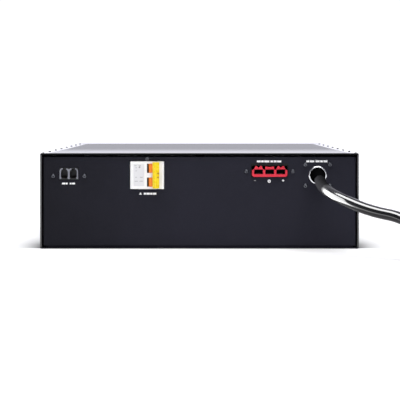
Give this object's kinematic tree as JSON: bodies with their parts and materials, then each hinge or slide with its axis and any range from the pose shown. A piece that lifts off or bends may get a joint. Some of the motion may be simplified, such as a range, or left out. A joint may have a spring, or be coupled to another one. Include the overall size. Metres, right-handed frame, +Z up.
{
  "type": "external ups battery pack",
  "caption": "Steel battery module that stands under or beside a power supply, with a breaker toggle, signal sockets, a red power connector and a free input cord on its rear panel.",
  "frame": {"origin": "centre of the base's underside, midway between the chassis's front and rear edges", "axes": "+Z up, +Y towards the front bezel, -Y towards the rear panel with the connectors, +X to the right seen from behind the module"},
  "size_m": [0.7012, 0.8545, 0.132],
  "materials": {
    "cover_paint": "satin fine powder coat",
    "panel_paint": "matt fine powder coat, blue-black",
    "zinc_steel": "zinc plated",
    "black_bracket": "matt black",
    "bezel_plastic": "fine moulded texture",
    "battery_case": "moulded",
    "copper": "tinned copper",
    "socket_shield": "moulded black with bright rims",
    "gold": "gold plated",
    "circuit_board": "solder mask",
    "breaker_white": "moulded white",
    "lever_orange": "moulded",
    "tie_yellow": "moulded",
    "connector_red": "moulded red",
    "bright_ring": "turned, bright",
    "black_rubber": "matt",
    "fuse_body": "ceramic",
    "fuse_base": "moulded",
    "black_screw": "black zinc",
    "zinc_screw": "zinc plated",
    "cord_jacket": "glossy jacket"
  },
  "bodies": {
    "chassis": {"base_tray": "panel_paint", "battery_01": "battery_case", "battery_02": "battery_case", "battery_03": "battery_case", "battery_04": "battery_case", "battery_05": "battery_case", "battery_06": "battery_case", "battery_07": "battery_case", "battery_08": "battery_case", "battery_09": "battery_case", "battery_10": "battery_case", "battery_11": "battery_case", "battery_12": "battery_case", "battery_13": "battery_case", "battery_14": "battery_case", "battery_15": "battery_case", "battery_16": "battery_case", "battery_17": "battery_case", "battery_18": "battery_case", "battery_19": "battery_case", "battery_20": "battery_case", "breaker_bracket": "zinc_steel", "breaker_pole_lower": "breaker_white", "breaker_pole_upper": "breaker_white", "centre_divider": "zinc_steel", "cord_coil": "cord_jacket", "cord_lead": "cord_jacket", "cord_tail": "cord_jacket", "cover_rivets": "cover_paint", "cover_screws": "black_screw", "drawer_left": "zinc_steel", "drawer_right": "zinc_steel", "drawer_screws": "zinc_screw", "earth_stud": "zinc_steel", "front_bezel": "bezel_plastic", "front_frame": "panel_paint", "fuse_block": "fuse_base", "fuses": "fuse_body", "gland_bush": "black_rubber", "gland_plate": "zinc_steel", "gland_ring": "bright_ring", "jack_bracket": "zinc_steel", "jack_contacts": "gold", "jack_housing": "socket_shield", "mounting_rail": "zinc_steel", "output_bracket": "black_bracket", "output_contacts": "copper", "output_housing": "connector_red", "panel_screws": "black_screw", "plug_contacts": "copper", "plug_housing": "connector_red", "plug_neck": "black_rubber", "rear_panel": "panel_paint", "series_straps_left": "copper", "series_straps_right": "copper", "signal_board": "circuit_board", "top_cover": "cover_paint"},
    "breaker_toggle": {"breaker_lever_lower": "lever_orange", "breaker_lever_upper": "lever_orange", "breaker_tie_bar": "tie_yellow"}
  },
  "joints": [
    {"name": "breaker_toggle_hinge", "type": "hinge", "parent": "chassis", "child": "breaker_toggle", "pos_m": [-0.0655, -0.3023, 0.1006], "axis": [0, 0, -1], "range_deg": [0, 76]}
  ]
}
